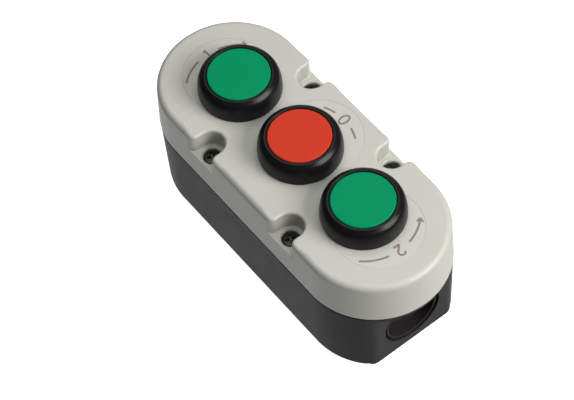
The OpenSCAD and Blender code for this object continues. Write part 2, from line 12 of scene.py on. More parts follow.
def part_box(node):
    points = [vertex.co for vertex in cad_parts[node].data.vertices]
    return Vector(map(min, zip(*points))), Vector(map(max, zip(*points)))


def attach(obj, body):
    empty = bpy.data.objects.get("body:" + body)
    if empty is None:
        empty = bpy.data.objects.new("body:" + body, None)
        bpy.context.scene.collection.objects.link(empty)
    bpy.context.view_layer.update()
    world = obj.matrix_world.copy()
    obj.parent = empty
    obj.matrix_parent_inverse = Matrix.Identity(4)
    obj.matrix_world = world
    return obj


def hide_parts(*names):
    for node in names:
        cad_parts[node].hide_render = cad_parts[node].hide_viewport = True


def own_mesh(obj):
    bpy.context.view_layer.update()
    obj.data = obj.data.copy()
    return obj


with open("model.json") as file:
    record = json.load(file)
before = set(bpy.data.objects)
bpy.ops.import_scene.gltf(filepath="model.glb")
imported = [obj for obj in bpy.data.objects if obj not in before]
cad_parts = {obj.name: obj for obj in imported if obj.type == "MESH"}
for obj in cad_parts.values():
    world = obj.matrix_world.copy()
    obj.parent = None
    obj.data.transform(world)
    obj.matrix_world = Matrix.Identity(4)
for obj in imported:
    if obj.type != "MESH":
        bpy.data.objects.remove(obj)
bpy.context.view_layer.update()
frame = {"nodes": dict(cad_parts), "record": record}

bl_info = {
    "name": "Push-button control station",
    "version": (1, 0, 0),
    "blender": (4, 5, 0),
    "location": "View3D > Sidebar > Station",
    "description": "Visible skins, finishes and studio of a three-button control station",
    "category": "Object",
}

MM = 0.001
SIDES = ("left", "centre", "right")
MIRRORS = np.array([(1, 1, 1), (-1, 1, 1), (1, -1, 1), (-1, -1, 1)])

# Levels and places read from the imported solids
COVER_LO, COVER_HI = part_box("cover")
PARTING_Z = COVER_LO.z
FACE_Z = COVER_HI.z
COVER_R = COVER_HI.y
END_X = COVER_HI.x - COVER_R
CAP_LO, CAP_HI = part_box("right_cap")
PITCH = (CAP_LO.x + CAP_HI.x) / 2
BUTTONS = np.array([(-PITCH, 0), (0, 0), (PITCH, 0)])
BASE_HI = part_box("base")[1]
FLANGE_R = BASE_HI.x - END_X
SCREW_LO, SCREW_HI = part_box("cover_screws")
HEAD_TOP_Z = SCREW_HI.z
HEAD_R = 3.05 * MM
SEAT_Z = HEAD_TOP_Z - 3.1 * MM
SCREW_X = (SCREW_HI.x - SCREW_LO.x) / 2 - HEAD_R
SCREW_Y = (SCREW_HI.y - SCREW_LO.y) / 2 - HEAD_R

# Studio, in metres; the camera was solved from the photo's outlines
FLOOR_LEVEL = -0.1 * MM
FLOOR_REACH = 3
KEY_AT, KEY_TARGET, KEY_SIZE = (0.71, 0.39, 0.59), (0, 0, 0.03), (0.6, 0.5)
FILL_AT, FILL_TARGET, FILL_SIZE = (-0.12, 0.10, 0.95), (0, 0, 0.04), (1.0, 1.0)
CAMERA_AT = (0.3556, -0.2445, 0.6687)
CAMERA_AHEAD = (-0.4608, 0.3071, -0.8327)
CAMERA_UP = (-0.6387, 0.5367, 0.5514)


class StationHousing(bpy.types.PropertyGroup):
    """Sizes and colours of the moulded cover and base."""

    edge_radius: FloatProperty(name="Top edge radius", description="Rounding of the cover's top edge",
                               default=2.2 * MM, min=0.5 * MM, max=4 * MM, unit="LENGTH")
    rim_radius: FloatProperty(name="Scallop rim radius",
                              description="Rounding of the rim round each scallop",
                              default=0.9 * MM, min=0.2 * MM, max=1.5 * MM, unit="LENGTH")
    cover_draft: FloatProperty(name="Cover draft", description="How far the cover's side wall leans in",
                               default=0.7 * MM, min=0, max=2 * MM, unit="LENGTH")
    base_draft: FloatProperty(name="Base draft", description="How far the base's side wall leans in",
                              default=0.5 * MM, min=0, max=2 * MM, unit="LENGTH")
    cover_colour: FloatVectorProperty(name="Cover colour", description="Colour of the cover's plastic",
                                      subtype="COLOR", size=3, min=0, max=1, default=(0.50, 0.50, 0.45))
    base_colour: FloatVectorProperty(name="Base colour", description="Colour of the base's plastic",
                                     subtype="COLOR", size=3, min=0, max=1, default=(0.0245, 0.0225, 0.022))


class StationOperators(bpy.types.PropertyGroup):
    """Colours of the bezels and caps."""

    bezel_colour: FloatVectorProperty(name="Bezel colour", description="Colour of the bezels' plastic",
                                      subtype="COLOR", size=3, min=0, max=1, default=(0.006, 0.006, 0.006))
    green: FloatVectorProperty(name="Green cap", description="Colour of the outer caps",
                               subtype="COLOR", size=3, min=0, max=1, default=(0.0006, 0.25, 0.102))
    red: FloatVectorProperty(name="Red cap", description="Colour of the middle cap",
                             subtype="COLOR", size=3, min=0, max=1, default=(0.55, 0.040, 0.018))
    turns: IntProperty(name="Steps round", description="Steps round a turned piece",
                       default=128, min=24, max=256)


class StationLegends(bpy.types.PropertyGroup):
    """Sizes and colour of the legend plates and their marks."""

    groove: FloatProperty(name="Groove width", description="Gap between a legend plate and its pocket",
                          default=0.04 * MM, min=0.02 * MM, max=0.4 * MM, unit="LENGTH")
    mark_radius: FloatProperty(name="Mark radius",
                               description="Distance from the button's axis to the marks",
                               default=19.1 * MM, min=15 * MM, max=21 * MM, unit="LENGTH")
    mark_height: FloatProperty(name="Mark height", description="Height of the printed numbers",
                               default=4.3 * MM, min=1 * MM, max=5 * MM, unit="LENGTH")
    stroke: FloatProperty(name="Stroke width", description="Width of the printed strokes",
                          default=0.74 * MM, min=0.2 * MM, max=1 * MM, unit="LENGTH")
    mark_colour: FloatVectorProperty(name="Mark colour", description="Colour of the printed marks",
                                     subtype="COLOR", size=3, min=0, max=1, default=(0.235, 0.18, 0.155))


class StationStudio(bpy.types.PropertyGroup):
    """Lights, floor and camera."""

    key_power: FloatProperty(name="Key power", description="Power of the key light at the right",
                             default=10.8, min=0, unit="POWER")
    fill_power: FloatProperty(name="Fill power", description="Power of the wide fill light above",
                              default=5.5, min=0, unit="POWER")
    world_strength: FloatProperty(name="Floor light",
                                  description="Strength of the light thrown up by the floor",
                                  default=1.02, min=0)
    sky_share: FloatProperty(name="Sky share",
                             description="Surround light from above, as a share of the floor's",
                             subtype="FACTOR", default=0.08, min=0, max=1)
    lens: FloatProperty(name="Lens", description="Focal length for a 36 mm sensor, in millimetres",
                        default=138.48, min=20)


def arc(centre, r, a0, a1, count):
    """Points on a circle from angle a0 to a1 in degrees, with the directions away from its centre."""
    a = np.radians(np.linspace(a0, a1, count))
    out = np.stack([np.cos(a), np.sin(a)], axis=1)
    return np.asarray(centre) + r * out, out


def line(start, end, count):
    """Evenly spaced points from start to end, with the directions to the right of travel."""
    t = np.linspace(0, 1, count)[:, None]
    start, end = np.asarray(start, float), np.asarray(end, float)
    run = (end - start) / np.linalg.norm(end - start)
    out = np.array([run[1], -run[0]])
    return start * (1 - t) + end * t, np.repeat(out[None, :], count, axis=0)


def smooth(t):
    """Cubic blend: 3 t squared minus 2 t cubed."""
    t = np.clip(t, 0, 1)
    return t * t * (3 - 2 * t)


def edge_steps(start, stop, count):
    """Steps round an edge of radius one: the fall, 1 - sine of the angle, and the way in, 1 - cosine."""
    a = np.radians(np.linspace(start, stop, count))
    return list(zip(1 - np.sin(a), 1 - np.cos(a)))


def helix_wave(z, angle, pitch):
    """Triangular wave between 0 and 1 of the height in pitches, less the turn round the axis."""
    return np.abs(2 * ((z / pitch - angle / (2 * math.pi)) % 1.0) - 1)


def spin(xy, degrees):
    """Turns plan points round the origin."""
    a = math.radians(degrees)
    return xy @ np.array([[math.cos(a), math.sin(a)], [-math.sin(a), math.cos(a)]])


def whole_loop(quarter):
    """Mirrors a quarter path from +X to +Y into a closed loop; the columns are x, y, nx, ny, ..."""
    def flip(q, sx, sy):
        q = q.copy()
        q[:, [0, 2]] *= sx
        q[:, [1, 3]] *= sy
        return q
    back = quarter[::-1]
    return np.concatenate([quarter, flip(back, -1, 1)[1:], flip(quarter, -1, -1)[1:],
                           flip(back, 1, -1)[1:-1]])


def level(xy, z):
    """Lifts plan points to a height, which may vary from point to point."""
    return np.column_stack([xy, np.broadcast_to(z, len(xy))])


class Patches:
    """Collects grids and flat fills as arrays, and makes one closed mesh of them."""

    def __init__(self):
        self.points, self.faces, self.count = [], [], 0

    def add(self, points, faces):
        self.points.append(points)
        self.faces.append(faces + self.count)
        self.count += len(points)

    def grid(self, rows, closed=False):
        """Quads between neighbouring rows of equal length; closed joins each row's end to its start."""
        rows = np.asarray(rows, float)
        n, m = rows.shape[:2]
        i = np.arange(n - 1)[:, None] * m
        j = np.arange(m if closed else m - 1)[None, :]
        k = (j + 1) % m
        quads = np.stack([i + j, i + k, i + m + k, i + m + j], axis=-1).reshape(-1, 4)
        self.add(rows.reshape(-1, 3), quads)

    def fill(self, *loops):
        """Flat fill between an outer loop and the holes in it."""
        points = np.concatenate(loops)
        tris = np.array(tessellate_polygon([loop.tolist() for loop in loops]))
        self.add(points, np.column_stack([tris, tris[:, 2]]))

    def mesh(self, name, crease=32.0, recalc=True):
        points = np.concatenate(self.points)
        faces = np.concatenate(self.faces)
        tri = faces[:, 2] == faces[:, 3]
        mesh = bpy.data.meshes.new(name)
        mesh.from_pydata(points.tolist(), [], faces[~tri].tolist() + faces[tri][:, :3].tolist())
        bm = bmesh.new()
        bm.from_mesh(mesh)
        bmesh.ops.remove_doubles(bm, verts=bm.verts, dist=0.002 * MM)
        if recalc:
            bmesh.ops.recalc_face_normals(bm, faces=bm.faces)
        bm.to_mesh(mesh)
        bm.free()
        mesh.shade_smooth()
        mesh.set_sharp_from_angle(angle=math.radians(crease))
        return mesh


def place(name, mesh, body, material, node=None):
    """Makes a piece at the origin, rides it on a body and lets it stand for a CAD node."""
    piece = bpy.data.objects.new(name, mesh)
    bpy.context.scene.collection.objects.link(piece)
    mesh.materials.append(material)
    weighted = piece.modifiers.new("Even shading", "WEIGHTED_NORMAL")
    weighted.keep_sharp = True
    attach(piece, body)
    if node:
        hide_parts(node)
    return piece


def turned(patches, profile, centre, steps):
    """Turns a profile of radius and height round a vertical axis."""
    profile = np.asarray(profile, float)
    a = np.linspace(0, 2 * math.pi, steps, endpoint=False)
    r, z = profile[:, :1], profile[:, 1:]
    x = centre[0] + r * np.cos(a)
    y = centre[1] + r * np.sin(a)
    patches.grid(np.stack([x, y, np.broadcast_to(z, x.shape)], axis=-1), closed=True)


# Finishes: sizes of two noises in millimetres, spread of the roughness, share of grain in the colour
DRIFT_SIZE, GLOSS_SIZE = 28, 7
GLOSS_SPREAD = 0.05
GRAIN_MIX = 0.4


def finish(name, colour, roughness, grain=0.25, relief=0.02, drift=0.05, metallic=0.0, specular=0.5,
           grain_size=0.35):
    """Procedural finish on Object coordinates: slow colour drift, fine grain, uneven gloss, fine relief."""
    mat = bpy.data.materials.new(name)
    mat.use_nodes = True
    mat.diffuse_color = (*colour, 1)
    nodes, links = mat.node_tree.nodes, mat.node_tree.links
    nodes.clear()
    out = nodes.new("ShaderNodeOutputMaterial")
    shader = nodes.new("ShaderNodeBsdfPrincipled")
    links.new(shader.outputs["BSDF"], out.inputs["Surface"])
    coords = nodes.new("ShaderNodeTexCoord")

    def noise(size, detail, rough=0.5):
        node = nodes.new("ShaderNodeTexNoise")
        node.inputs["Scale"].default_value = 1 / (size * MM)
        node.inputs["Detail"].default_value = detail
        node.inputs["Roughness"].default_value = rough
        links.new(coords.outputs["Object"], node.inputs["Vector"])
        return node.outputs["Fac"]

    def ramp(value, spread):
        """Colour that goes from darker to lighter by a share of its own value."""
        node = nodes.new("ShaderNodeValToRGB")
        for element, at, k in zip(node.color_ramp.elements, (0.3, 0.7), (1 - spread, 1 + spread)):
            element.position = at
            element.color = (*(min(1.0, c * k) for c in colour), 1)
        links.new(value, node.inputs["Fac"])
        return node.outputs["Color"]

    fine = noise(grain_size, 2, 0.6)
    mix = nodes.new("ShaderNodeMix")
    mix.data_type = "RGBA"
    mix.inputs["Factor"].default_value = GRAIN_MIX
    # Inputs 6 and 7 and output 2 are the mix's colours
    links.new(ramp(noise(DRIFT_SIZE, 3), drift), mix.inputs[6])
    links.new(ramp(fine, drift * grain * 2), mix.inputs[7])
    links.new(mix.outputs[2], shader.inputs["Base Color"])
    gloss = nodes.new("ShaderNodeMapRange")
    gloss.inputs["To Min"].default_value = roughness - GLOSS_SPREAD
    gloss.inputs["To Max"].default_value = roughness + GLOSS_SPREAD
    links.new(noise(GLOSS_SIZE, 4), gloss.inputs["Value"])
    links.new(gloss.outputs["Result"], shader.inputs["Roughness"])
    bump = nodes.new("ShaderNodeBump")
    bump.inputs["Strength"].default_value = grain
    bump.inputs["Distance"].default_value = relief * MM
    links.new(fine, bump.inputs["Height"])
    links.new(bump.outputs["Normal"], shader.inputs["Normal"])
    shader.inputs["Metallic"].default_value = metallic
    shader.inputs["Specular IOR Level"].default_value = specular
    return mat


FINISH = {}


def make_finishes(scene):
    """All finishes of the station, one for each material slot of the record."""
    housing, ops, legends = scene.station_housing, scene.station_operators, scene.station_legends
    cover = tuple(housing.cover_colour)
    FINISH.update({
        "cover_plastic": finish("Cover plastic", cover, 0.42, grain=0.4, relief=0.03, drift=0.025),
        "base_plastic": finish("Base plastic", tuple(housing.base_colour), 0.45, grain=0.75, relief=0.07,
                               drift=0.10, grain_size=0.5, specular=0.07),
        "bezel_plastic": finish("Bezel plastic", tuple(ops.bezel_colour), 0.3, grain=0.15, drift=0.1,
                                specular=0.2),
        "green_cap": finish("Green cap plastic", tuple(ops.green), 0.45, grain=0.2, drift=0.03,
                            specular=0.05),
        "red_cap": finish("Red cap plastic", tuple(ops.red), 0.45, grain=0.2, drift=0.03, specular=0.08),
        "legend_plastic": finish("Legend plate", tuple(c * 1.02 for c in cover), 0.36, grain=0.15,
                                 drift=0.02),
        "legend_print": finish("Legend print", tuple(legends.mark_colour), 0.5, grain=0.2, drift=0.05),
        "black_screw": finish("Blackened screw", (0.016, 0.016, 0.017), 0.34, grain=0.4, drift=0.15,
                              metallic=0.4),
        "seal_rubber": finish("Seal rubber", (0.02, 0.02, 0.02), 0.7, grain=0.4, drift=0.1),
        "nylon": finish("Natural nylon", (0.72, 0.69, 0.6), 0.4, drift=0.04),
        "terminal_brass": finish("Terminal brass", (0.72, 0.50, 0.20), 0.3, metallic=1, drift=0.08),
        "nut_plastic": finish("Nut plastic", (0.12, 0.12, 0.125), 0.5, grain=0.5, drift=0.1),
        "plunger_plastic": finish("Plunger plastic", (0.02, 0.02, 0.022), 0.4, drift=0.1),
        "spring_steel": finish("Spring steel", (0.55, 0.55, 0.56), 0.25, metallic=1, drift=0.08),
        "block_plastic": finish("Block plastic", (0.07, 0.09, 0.11), 0.5, grain=0.4, drift=0.08),
        "block_lid_plastic": finish("Block lid plastic", (0.045, 0.06, 0.075), 0.45, drift=0.08),
        "slider_plastic": finish("Carrier plastic", (0.70, 0.67, 0.57), 0.4, drift=0.04),
        "contact_copper": finish("Contact copper", (0.66, 0.36, 0.22), 0.3, metallic=1, drift=0.08),
        "zinc_steel": finish("Zinc steel", (0.58, 0.58, 0.56), 0.35, metallic=1, drift=0.1),
    })


# Cover
SCALLOP_R = 5.0 * MM
FLARE_R = 3.0 * MM
LEDGE_Z = FACE_Z - 7.7 * MM
WALL = 2.6 * MM
INNER_Z = PARTING_Z + 2.8 * MM
UNDER_Z = FACE_Z - WALL
PANEL_HOLE_R = 11.2 * MM
FOOT_R = 0.4 * MM
FACE_RING = 0.05 * MM
PARTING_EDGE_R = 0.3 * MM
GASKET_INSET = 1.55 * MM
CAVITY_R = COVER_R - 3.0 * MM
COLUMN_R = 7.0 * MM
WELL_R = 3.3 * MM
SHANK_HOLE_R = 2.25 * MM
# Rim of a screw's well, in millimetres: radius and depth below the ledge
WELL_RIM = ((3.95, 0), (3.83, 0.04), (3.36, 0.46), (3.3, 0.6))
# Share of the top edge's rounding that is left where a flare starts, and the length over which it falls
SHOULDER = 0.5
EASING = 4.0 * MM


def cover_quarter():
    """Quarter of the cover's outline: round end, long side, flare, scallop, flare, long side.

    The fifth column is 1 on the outside wall and falls to 0 round the flares into the scallop. The sixth
    sets the top edge's rounding, and starts to fall just before the flares. Also gives each part's start."""
    flare_y = COVER_R - FLARE_R
    right, left = SCREW_X + SCALLOP_R, SCREW_X - SCALLOP_R
    falling = 1 - smooth(np.linspace(0, 1, 13))

    def near(length, count):
        return SHOULDER + (1 - SHOULDER) * smooth(np.linspace(length, 0, count) / EASING)

    scallop, away = arc((SCREW_X, SCREW_Y), SCALLOP_R, 0, -180, 31)
    parts = [
        (arc((END_X, 0), COVER_R, 0, 90, 49), 1, 1),
        (line((END_X, COVER_R), (right + FLARE_R, COVER_R), 13), 1, near(END_X - right - FLARE_R, 13)),
        (arc((right + FLARE_R, flare_y), FLARE_R, 90, 180, 13), falling, falling * SHOULDER),
        (line((right, flare_y), (right, SCREW_Y), 4), 0, 0),
        ((scallop, -away), 0, 0),
        (line((left, SCREW_Y), (left, flare_y), 4), 0, 0),
        (arc((left - FLARE_R, flare_y), FLARE_R, 0, 90, 13), falling[::-1], falling[::-1] * SHOULDER),
        (line((left - FLARE_R, COVER_R), (0, COVER_R), 17), 1, near(left - FLARE_R, 17)[::-1]),
    ]
    rows, starts = [], []
    for (xy, out), weight, rounding in parts:
        part = np.column_stack([xy, out, np.broadcast_to(weight, len(xy)),
                                np.broadcast_to(rounding, len(xy))])
        starts.append(sum(len(r) for r in rows))
        rows.append(part[1:] if rows else part)
    return np.concatenate(rows), starts


def cover_mesh(edge, rim, draft):
    """Closed skin of the cover, hollow inside, with its scallops, wells, bush holes and legend pockets.

    The outline moves in evenly as the height grows, and round the top edge it follows a quarter circle."""
    patches = Patches()
    height = FACE_Z - PARTING_Z
    quarter, starts = cover_quarter()
    loop = whole_loop(quarter)
    xy, out, weight, rounding = loop[:, :2], loop[:, 2:4], loop[:, 4], loop[:, 5]

    def lean(z):
        return draft * (z - PARTING_Z) / height

    def row(z, inset):
        inset = np.asarray(inset) + weight * lean(z)
        return level(xy - out * np.reshape(np.broadcast_to(inset, len(xy)), (-1, 1)), z)

    # Notched band above the ledge: a small hollow at the foot, the wall, and a rounded top edge
    foot = FOOT_R * (1 - weight)
    radius = rim + (edge - rim) * rounding
    rows = [row(LEDGE_Z + foot * across, -foot * fall) for fall, across in edge_steps(0, 90, 5)]
    rows += [row(LEDGE_Z + (FACE_Z - radius - LEDGE_Z) * t, 0) for t in (0.35, 0.7)]
    rows += [row(FACE_Z - radius * fall, radius * across) for fall, across in edge_steps(0, 90, 10)]
    rows.append(row(np.full(len(xy), FACE_Z), radius + FACE_RING))
    patches.grid(rows, closed=True)
    ledge_row, face_loop = rows[0], rows[-1]

    # Plain band below the ledge, with the parting edge rounded and the gasket's groove inside
    mouth = line((quarter[starts[2] - 1, 0], COVER_R), (quarter[starts[7] - 1, 0], COVER_R), 25)
    plain = whole_loop(np.concatenate([quarter[:starts[2], :4], np.column_stack(mouth)[1:],
                                       quarter[starts[7]:, :4]]))

    def plain_row(z, inset):
        return level(plain[:, :2] - plain[:, 2:4] * (inset + lean(z)), z)

    rows = [plain_row(INNER_Z, GASKET_INSET), plain_row(PARTING_Z, GASKET_INSET)]
    rows += [plain_row(PARTING_Z + PARTING_EDGE_R * fall, PARTING_EDGE_R * across)
             for fall, across in edge_steps(90, 0, 5)]
    rows += [plain_row(PARTING_Z + (LEDGE_Z - PARTING_Z) * t, 0) for t in (0.3, 0.65, 1.0)]
    patches.grid(rows, closed=True)
    groove_loop = rows[0]

    # Ledge of one scallop, filled flat between its outline and the well, then down to the gasket's groove
    ledge = Patches()
    edge_line = level(mouth[0] - mouth[1] * lean(LEDGE_Z), LEDGE_Z)[::-1]
    outline = np.concatenate([ledge_row[starts[2] - 1:starts[7]], edge_line[1:-1]])
    spoke = arc((0, 0), 1, 0, -360, 97)[1][:-1]

    def ring(r, z):
        return level(np.array([SCREW_X, SCREW_Y]) + spoke * r, z)

    rows = [ring(r * MM, LEDGE_Z - depth * MM) for r, depth in WELL_RIM]
    rows += [ring(WELL_R, SEAT_Z), ring(SHANK_HOLE_R, SEAT_Z), ring(SHANK_HOLE_R, INNER_Z)]
    ledge.fill(outline, rows[0])
    ledge.grid(rows, closed=True)
    for mirror in MIRRORS:
        patches.add(np.concatenate(ledge.points) * mirror, np.concatenate(ledge.faces))
    shanks = [rows[-1] * mirror for mirror in MIRRORS]

    # Hollow inside: a wall that passes round each screw's column, and the roof
    swing = math.degrees(math.asin((CAVITY_R - SCREW_Y) / COLUMN_R))
    near = COLUMN_R * math.cos(math.radians(swing))
    inner = np.concatenate([
        np.column_stack(arc((END_X, 0), CAVITY_R, 0, 90, 31)),
        np.column_stack(line((END_X, CAVITY_R), (SCREW_X + near, CAVITY_R), 4))[1:],
        np.column_stack(arc((SCREW_X, SCREW_Y), COLUMN_R, swing, -180 - swing, 31))[1:],
        np.column_stack(line((SCREW_X - near, CAVITY_R), (0, CAVITY_R), 5))[1:]])
    inner = whole_loop(inner)[:, :2]
    patches.grid([level(inner, INNER_Z), level(inner, UNDER_Z)], closed=True)
    patches.fill(groove_loop, level(inner, INNER_Z), *shanks)
    around = arc((0, 0), PANEL_HOLE_R, 0, 360, 97)[0][:-1]
    holes = [around + button for button in BUTTONS]
    patches.fill(level(inner, UNDER_Z), *[level(h, UNDER_Z) for h in holes])
    for hole in holes:
        patches.grid([level(hole, UNDER_Z), level(hole, FACE_Z)], closed=True)

    # Face with the bush holes and a pocket for each legend plate
    pockets = []
    for i in range(3):
        outer, inside = legend_outline(i, 0)
        pocket = around_legend(outer, inside)
        pockets.append(level(pocket, FACE_Z))
        patches.grid([level(pocket, FACE_Z), level(pocket, FACE_Z - LEGEND_T)], closed=True)
        patches.grid(across_legend(outer, inside, FACE_Z - LEGEND_T))
    patches.fill(face_loop, *[level(h, FACE_Z) for h in holes], *pockets)
    return patches.mesh("Cover skin")


# Legend plates and their printed marks; angles in degrees round the button, rises in millimetres
LEGEND_LO, LEGEND_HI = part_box("right_legend")
LEGEND_T = LEGEND_HI.z - LEGEND_LO.z
LEGEND_R = (LEGEND_HI.y - LEGEND_LO.y) / 2
LEGEND_OFFSET = LEGEND_HI.x - PITCH - LEGEND_R
LEGEND_INNER = 13.2 * MM
LEGEND_TURNS = (180.0, 90.0, 0.0)
LEGEND_BEVEL = 0.05 * MM
VALUES = (1, 0, 2)
BAR_START, BAR_ENDS = 13, (44, 27, 44)
BARB_TURNS, BARB_SHARE = (-145, 145), 0.42
PRINT_RISE, STROKE_RISE = 0.005, 0.004
PRINT_T = 0.02 * MM


def legend_outline(i, inset):
    """Outer and inner edge of a plate: a disc set off to one side, cut by a circle round the button."""
    r, inner, c = LEGEND_R - inset, LEGEND_INNER + inset, LEGEND_OFFSET
    b = math.degrees(math.acos((inner ** 2 - c ** 2 - r ** 2) / (2 * c * r)))
    outer = arc((c, 0), r, -b, b, 97)[0]
    end = math.degrees(math.atan2(outer[-1, 1], outer[-1, 0]))
    inside = arc((0, 0), inner, -end, end, len(outer))[0]
    inside[0], inside[-1] = outer[0], outer[-1]
    return spin(outer, LEGEND_TURNS[i]) + BUTTONS[i], spin(inside, LEGEND_TURNS[i]) + BUTTONS[i]


def around_legend(outer, inside):
    """One loop along the outer edge and back along the inner edge."""
    return np.concatenate([outer, inside[::-1][1:-1]])


def across_legend(outer, inside, z):
    """Rows that blend evenly from the outer edge to the inner edge."""
    return [level(outer * (1 - t) + inside * t, z) for t in np.linspace(0, 1, 5)]


def legend_mesh(i, groove):
    """Flat plate between two outlines, with its top edge bevelled a little."""
    patches = Patches()
    low, top = FACE_Z - LEGEND_T, FACE_Z
    edges, edges_top = legend_outline(i, groove), legend_outline(i, groove + LEGEND_BEVEL)
    side, side_top = around_legend(*edges), around_legend(*edges_top)
    patches.grid([level(side, low), level(side, top - LEGEND_BEVEL), level(side_top, top)], closed=True)
    patches.grid(across_legend(*edges, low))
    patches.grid(across_legend(*edges_top, top))
    return patches.mesh(f"{SIDES[i]} legend plate")


def ribbon(patches, path, width, z, closed=False):
    """Carries a flat rectangle along a plan path: each point moves half a width to both sides of the path."""
    path = np.asarray(path, float)
    if closed:
        run = np.roll(path, -1, axis=0) - np.roll(path, 1, axis=0)
    else:
        run = np.gradient(path, axis=0)
    run /= np.linalg.norm(run, axis=1, keepdims=True)
    side = np.column_stack([run[:, 1], -run[:, 0]]) * width / 2
    left, right = path - side, path + side
    section = [level(left, z - PRINT_T), level(left, z + PRINT_T), level(right, z + PRINT_T),
               level(right, z - PRINT_T), level(left, z - PRINT_T)]
    patches.grid(section, closed=closed)
    if not closed:
        for k in (0, -1):
            patches.grid([[section[0][k], section[1][k]], [section[3][k], section[2][k]]])


def digit(value):
    """Centre lines of a plain number, one unit high, round its own middle; each with whether it is closed."""
    if value == 0:
        a = np.linspace(0, 2 * math.pi, 49)[:-1]
        return [(np.column_stack([0.3 * np.cos(a), 0.5 * np.sin(a)]), True)]
    if value == 1:
        return [(line((0.06, -0.5), (0.06, 0.5), 9)[0], False),
                (line((0.06, 0.47), (-0.17, 0.3), 5)[0], False)]
    bow = arc((0, 0.22), 0.28, 165, -38, 25)[0]
    return [(np.concatenate([bow, line(bow[-1], (-0.27, -0.46), 9)[0][1:]]), False),
            (line((-0.3, -0.46), (0.3, -0.46), 7)[0], False)]


def mark_mesh(i, radius, height, stroke):
    """Printed marks of one legend: a number in the middle and curved bars beside it, one with an arrow tip.

    Each stroke lies a little higher than the one before, so that crossing strokes never share a plane."""
    patches = Patches()
    strokes = []
    for path, closed in digit(VALUES[i]):
        local = path * height
        strokes.append((np.column_stack([radius + local[:, 1], -local[:, 0]]), closed))
    for side in (-1, 1):
        curve = arc((0, 0), radius, side * BAR_START, side * BAR_ENDS[i], 41)[0]
        strokes.append((curve, False))
        if i != 1 and side == i - 1:
            tip, along = curve[-1], curve[-1] - curve[-2]
            along /= np.linalg.norm(along)
            for barb in BARB_TURNS:
                end = tip + spin(along[None, :], barb)[0] * height * BARB_SHARE
                strokes.append((line(tip, end, 5)[0], False))
    for step, (path, closed) in enumerate(strokes):
        top = FACE_Z + (PRINT_RISE + STROKE_RISE * step) * MM
        ribbon(patches, spin(path, LEGEND_TURNS[i]) + BUTTONS[i], stroke, top, closed=closed)
    return patches.mesh(f"{SIDES[i]} legend print")


# Base
BASE_R = 26.95 * MM
FLAT_X = END_X + BASE_R - 6.7 * MM
CORNER_R = 7.0 * MM
CORNER_X = FLAT_X - CORNER_R
CORNER_Y = math.sqrt((BASE_R - CORNER_R) ** 2 - (CORNER_X - END_X) ** 2)
BODY_TOP = 31.8 * MM
TOP_EDGE_R = 0.35 * MM
TOP_STEP = 1.6 * MM
BACK_EDGE_R = 1.6 * MM
FLAT_EDGE_SHARE = 0.5
FLAT_BLEND = 1.2 * MM
FLOOR_Z = 2.6 * MM
ENTRY_Z = 15.9 * MM
ENTRY_R = 11.8 * MM
ENTRY_EDGE_R = 0.25 * MM
COLLAR_R = 12.3 * MM
MOUNT_X = 47 * MM
MOUNT_HOLE_R = 2.25 * MM
BOSS_R, BOSS_Z = 4.8 * MM, 3.8 * MM
FLANGE_Z = 30.2 * MM
TONGUE_OUT_R, TONGUE_IN_R = 25.35 * MM, 24.35 * MM
TONGUE_Z = PARTING_Z + 2 * MM

# Profiles in millimetres. The first two hold radius and depth behind the flat end: the cable entry's
# groove, ridge, bore and knock-out disc with its thin ring, and the collar inside. Then come a post's
# radius and height, and a hook's distance from the middle line and height.
ENTRY_PROFILE = ((11.8, 1.8), (10.9, 1.8), (10.9, 0.65), (10.75, 0.5), (10.35, 0.5), (10.2, 0.65),
                 (10.2, 4.5), (8.16, 4.5), (8.16, 4.9), (7.56, 4.9), (7.56, 4.5), (3, 4.5), (0, 4.5))
COLLAR_PROFILE = ((12.3, 5.7), (5, 5.7), (0, 5.7))
POST_PROFILE = ((0, 2), (4.3, 2), (4.3, 32.35), (3.1, 32.35), (3.1, 24.4), (0, 24.4))
POST_XY = 22
HOOK_PROFILE = ((16.1, 2), (17.8, 2), (17.8, 13.2), (16.1, 13.2), (15.3, 12.6), (15.3, 12.0),
                (16.1, 12.0))
HOOK_X = (-34, 0, 34)
HOOK_HALF = 3


def base_quarter():
    """Quarter of the base's outline: half the flat end, the corner, the round end and the long side."""
    swing = math.degrees(math.atan2(CORNER_Y, CORNER_X - END_X))
    flat = np.column_stack(line((FLAT_X, 0), (FLAT_X, CORNER_Y), 17))
    corner = np.column_stack(arc((CORNER_X, CORNER_Y), CORNER_R, 0, swing, 13))
    end = np.column_stack(arc((END_X, 0), BASE_R, swing, 90, 25))
    side = np.column_stack(line((END_X, BASE_R), (0, BASE_R), 14))
    return np.concatenate([flat, corner[1:], end[1:], side[1:]]), len(flat)


